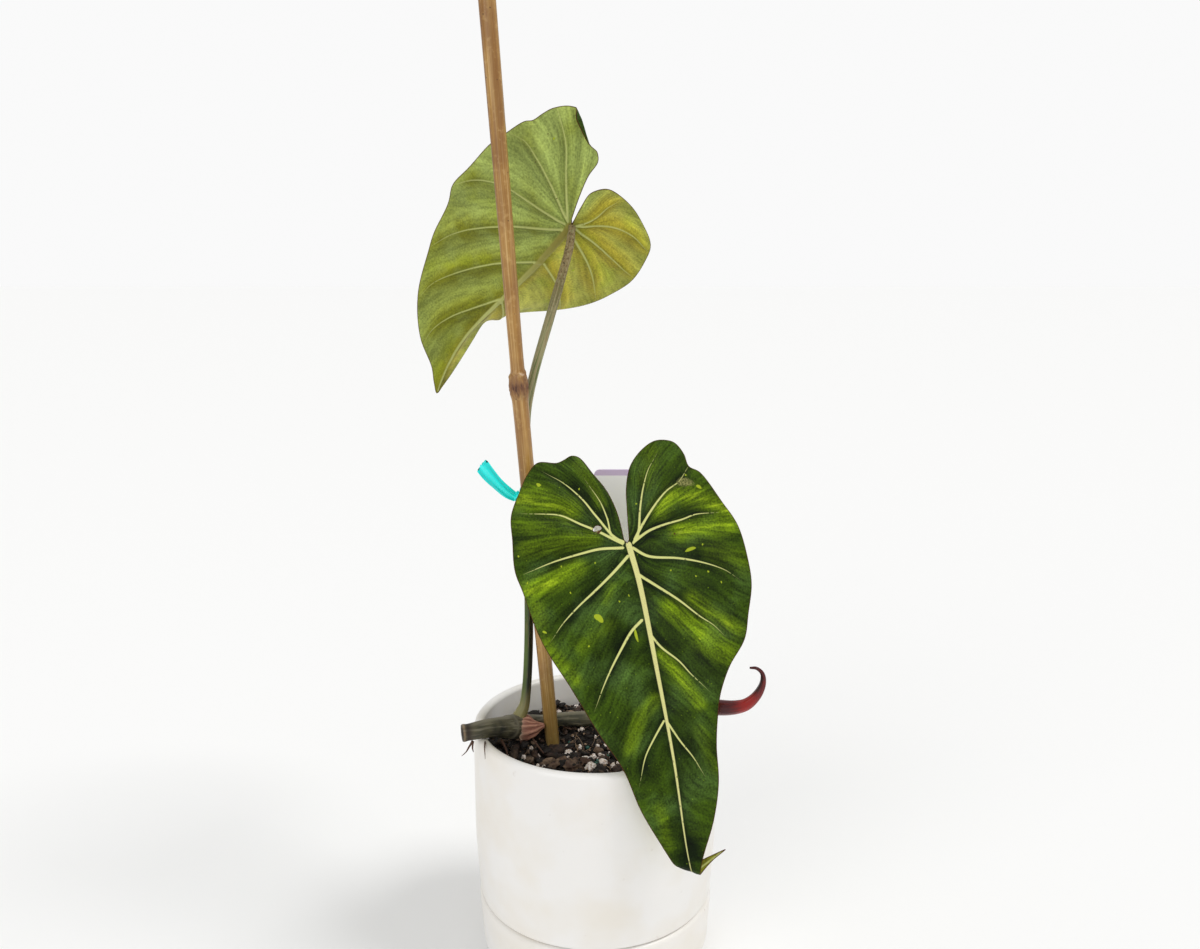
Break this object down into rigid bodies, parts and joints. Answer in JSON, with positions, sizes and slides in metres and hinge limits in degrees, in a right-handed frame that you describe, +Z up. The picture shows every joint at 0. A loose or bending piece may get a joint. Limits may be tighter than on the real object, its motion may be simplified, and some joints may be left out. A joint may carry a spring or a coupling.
{
  "type": "potted variegated philodendron",
  "caption": "Creeping philodendron with heart-shaped variegated leaves, tied to a bamboo cane, in a straight white ceramic pot that nests in its saucer.",
  "frame": {"origin": "centre of the saucer's flat underside, on the surface that the pot stands on", "axes": "+Z up, -Y towards the front where the front leaf hangs, +X to the right as seen from the front"},
  "size_m": [0.1926, 0.1883, 0.5243],
  "materials": {
    "white_ceramic": "satin",
    "potting_mix": "matte",
    "rhizome_skin": "satin",
    "dry_sheath": "matte",
    "red_cataphyll": "satin",
    "leaf_stalk": "satin",
    "leaf_blade": "satin",
    "bamboo": "satin",
    "plastic_tape": "satin",
    "label_plastic": "satin"
  },
  "bodies": {
    "root": {"saucer": "white_ceramic", "pot": "white_ceramic", "soil": "potting_mix", "rhizome": "rhizome_skin", "node_sheath": "dry_sheath", "cataphyll": "red_cataphyll", "petiole_upper": "leaf_stalk", "leaf_upper": "leaf_blade", "petiole_front": "leaf_stalk", "leaf_front": "leaf_blade", "cane": "bamboo", "tie": "plastic_tape", "label": "label_plastic"}
  },
  "joints": []
}
